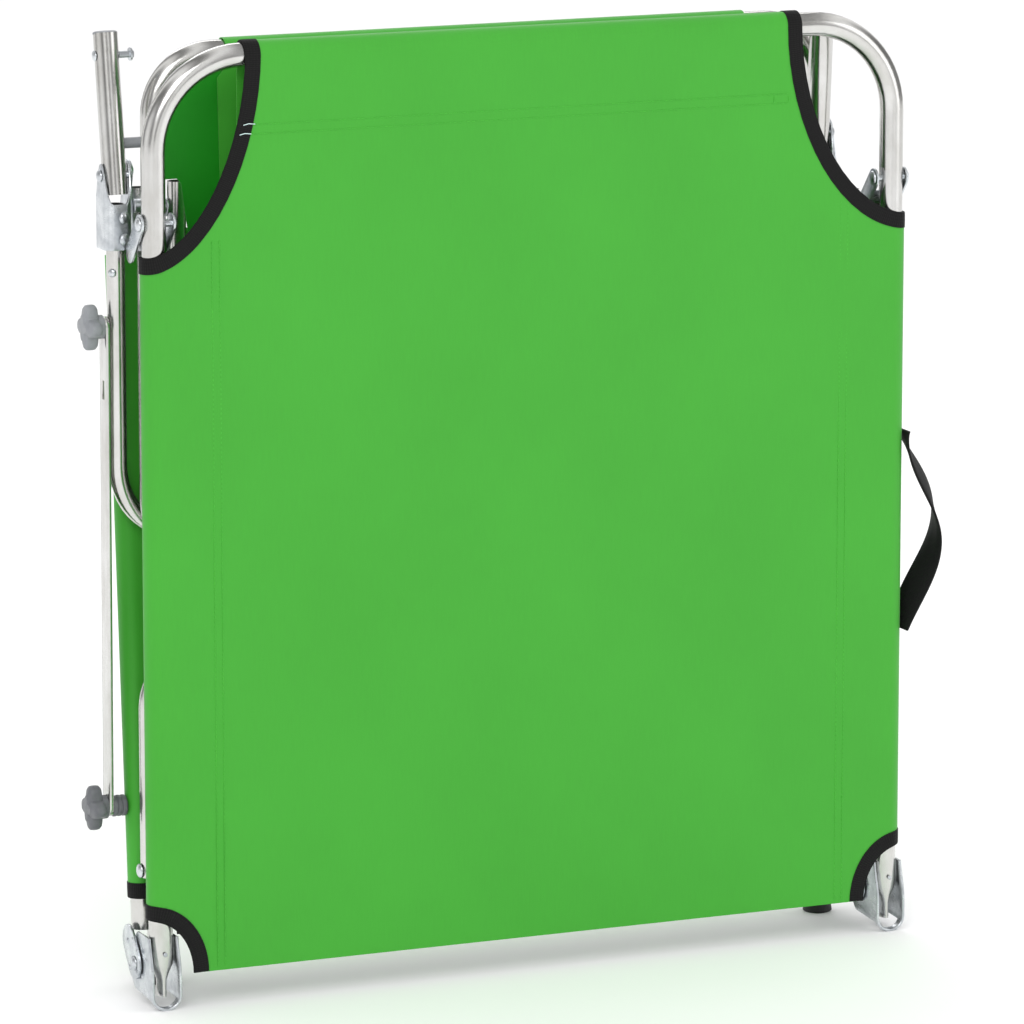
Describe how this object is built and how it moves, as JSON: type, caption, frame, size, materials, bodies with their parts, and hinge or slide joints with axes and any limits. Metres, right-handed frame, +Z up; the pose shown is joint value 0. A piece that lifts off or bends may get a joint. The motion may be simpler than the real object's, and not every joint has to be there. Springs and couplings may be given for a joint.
{
  "type": "folding cot",
  "caption": "Three-section folding sling cot with a sun canopy, folded upright: tube frames, fold-down legs, stamped hinges, clamp knobs and a carry strap.",
  "frame": {"origin": "on the floor under the middle of the folded cot's bounding box", "axes": "+X across the cot to its right, +Y from the front section to the rear section, +Z up"},
  "size_m": [0.678, 0.1244, 0.7221],
  "materials": {
    "green_cloth": "coated plain-weave polyester, bright green, faint sheen",
    "black_webbing": "woven black webbing and edge binding",
    "tube_aluminium": "bright drawn tube, lengthwise grain",
    "zinc_steel": "zinc-plated stamped sheet steel",
    "gray_plastic": "moulded gray plastic",
    "black_plastic": "moulded black plastic"
  },
  "bodies": {
    "root": {"middle_rail_left": "tube_aluminium", "middle_rail_right": "tube_aluminium", "middle_shoe_left": "zinc_steel", "middle_shoe_right": "zinc_steel", "fold_pin_left": "zinc_steel", "fold_pin_right": "zinc_steel", "lower_leg_pin_left": "zinc_steel", "lower_leg_pin_right": "zinc_steel", "upper_leg_bracket_left": "zinc_steel", "upper_leg_bracket_right": "zinc_steel", "upper_leg_pin_left": "zinc_steel", "upper_leg_pin_right": "zinc_steel", "rear_hinge_fixed_left": "zinc_steel", "rear_hinge_fixed_right": "zinc_steel", "rear_hinge_pin_left": "zinc_steel", "rear_hinge_pin_right": "zinc_steel", "middle_sling": "green_cloth"},
    "front": {"front_frame": "tube_aluminium", "front_sling": "green_cloth", "carry_strap": "black_webbing", "front_shoe_left": "zinc_steel", "front_shoe_right": "zinc_steel", "front_leg_pin_left": "zinc_steel", "front_leg_pin_right": "zinc_steel"},
    "front_leg": {"front_leg": "tube_aluminium", "front_leg_bracket_left": "zinc_steel", "front_leg_bracket_right": "zinc_steel"},
    "lower_leg": {"lower_leg": "tube_aluminium"},
    "upper_leg": {"upper_leg": "tube_aluminium"},
    "rear": {"rear_sling": "green_cloth", "rear_crossbar": "tube_aluminium", "rear_rail_left": "tube_aluminium", "rear_rail_right": "tube_aluminium", "rear_foot_left": "black_plastic", "rear_foot_right": "black_plastic", "rear_hinge_moving_left": "zinc_steel", "rear_hinge_moving_right": "zinc_steel"},
    "canopy_arms": {"canopy_arm_left": "tube_aluminium", "canopy_arm_right": "tube_aluminium", "arm_spacer_left": "gray_plastic", "arm_spacer_right": "gray_plastic"},
    "canopy": {"canopy_lower_hoop": "tube_aluminium", "canopy_upper_hoop": "tube_aluminium", "canopy_spacer": "gray_plastic", "canopy_sheet": "green_cloth", "knuckle_left": "zinc_steel", "knuckle_right": "zinc_steel", "knuckle_pin_left": "zinc_steel", "knuckle_pin_right": "zinc_steel"},
    "support_left": {"support_tube_left": "tube_aluminium", "support_cap_left": "gray_plastic", "support_peg": "zinc_steel"},
    "support_right": {"support_tube_right": "tube_aluminium", "support_cap_right": "gray_plastic"},
    "upper_knob_left": {"upper_knob_left": "gray_plastic"},
    "upper_knob_right": {"upper_knob_right": "gray_plastic"},
    "lower_knob_left": {"lower_knob_left": "gray_plastic"},
    "lower_knob_right": {"lower_knob_right": "gray_plastic"}
  },
  "joints": [
    {"name": "front_fold", "type": "hinge", "parent": "root", "child": "front", "pos_m": [0, -0.02944, 0.03], "axis": [1, 0, 0], "range_deg": [0, 175]},
    {"name": "front_leg_fold", "type": "hinge", "parent": "front", "child": "front_leg", "pos_m": [0, -0.04844, 0.586], "axis": [1, 0, 0], "range_deg": [0, 88.5]},
    {"name": "lower_leg_fold", "type": "hinge", "parent": "root", "child": "lower_leg", "pos_m": [0, -0.02904, 0.1], "axis": [1, 0, 0], "range_deg": [0, 88.5]},
    {"name": "upper_leg_fold", "type": "hinge", "parent": "root", "child": "upper_leg", "pos_m": [0, 0.01156, 0.588], "axis": [1, 0, 0], "range_deg": [-71, 0]},
    {"name": "canopy_arm_swing", "type": "hinge", "parent": "root", "child": "canopy_arms", "pos_m": [0, -0.00479, 0.145], "axis": [1, 0, 0], "range_deg": [0, 79.75]},
    {"name": "canopy_tilt", "type": "hinge", "parent": "canopy_arms", "child": "canopy", "pos_m": [0, -0.00844, 0.506], "axis": [1, 0, 0], "range_deg": [-71, 0]},
    {"name": "support_left_fold", "type": "hinge", "parent": "canopy", "child": "support_left", "pos_m": [0, -0.00844, 0.617], "axis": [1, 0, 0], "range_deg": [0, 88.5]},
    {"name": "support_right_fold", "type": "hinge", "parent": "canopy", "child": "support_right", "pos_m": [0, -0.00844, 0.617], "axis": [1, 0, 0], "range_deg": [0, 88.5]},
    {"name": "rear_fold", "type": "hinge", "parent": "root", "child": "rear", "pos_m": [0, 0.04156, 0.612], "axis": [1, 0, 0], "range_deg": [0, 175]},
    {"name": "upper_knob_left_turn", "type": "hinge", "parent": "canopy_arms", "child": "upper_knob_left", "pos_m": [0, -0.00844, 0.506], "axis": [1, 0, 0], "range_deg": [-180, 180]},
    {"name": "lower_knob_left_turn", "type": "hinge", "parent": "canopy_arms", "child": "lower_knob_left", "pos_m": [0, -0.00479, 0.145], "axis": [1, 0, 0], "range_deg": [-180, 180]},
    {"name": "upper_knob_right_turn", "type": "hinge", "parent": "canopy_arms", "child": "upper_knob_right", "pos_m": [0, -0.00844, 0.506], "axis": [1, 0, 0], "range_deg": [-180, 180]},
    {"name": "lower_knob_right_turn", "type": "hinge", "parent": "canopy_arms", "child": "lower_knob_right", "pos_m": [0, -0.00479, 0.145], "axis": [1, 0, 0], "range_deg": [-180, 180]}
  ],
  "couplings": [
    {"joint": "front_leg_fold", "follows": "front_fold", "ratio": 0.5},
    {"joint": "lower_leg_fold", "follows": "front_fold", "ratio": 0.5},
    {"joint": "upper_leg_fold", "follows": "front_fold", "ratio": -0.4},
    {"joint": "canopy_arm_swing", "follows": "front_fold", "ratio": 0.45},
    {"joint": "canopy_tilt", "follows": "front_fold", "ratio": -0.4},
    {"joint": "support_left_fold", "follows": "front_fold", "ratio": 0.5},
    {"joint": "support_right_fold", "follows": "front_fold", "ratio": 0.5}
  ]
}
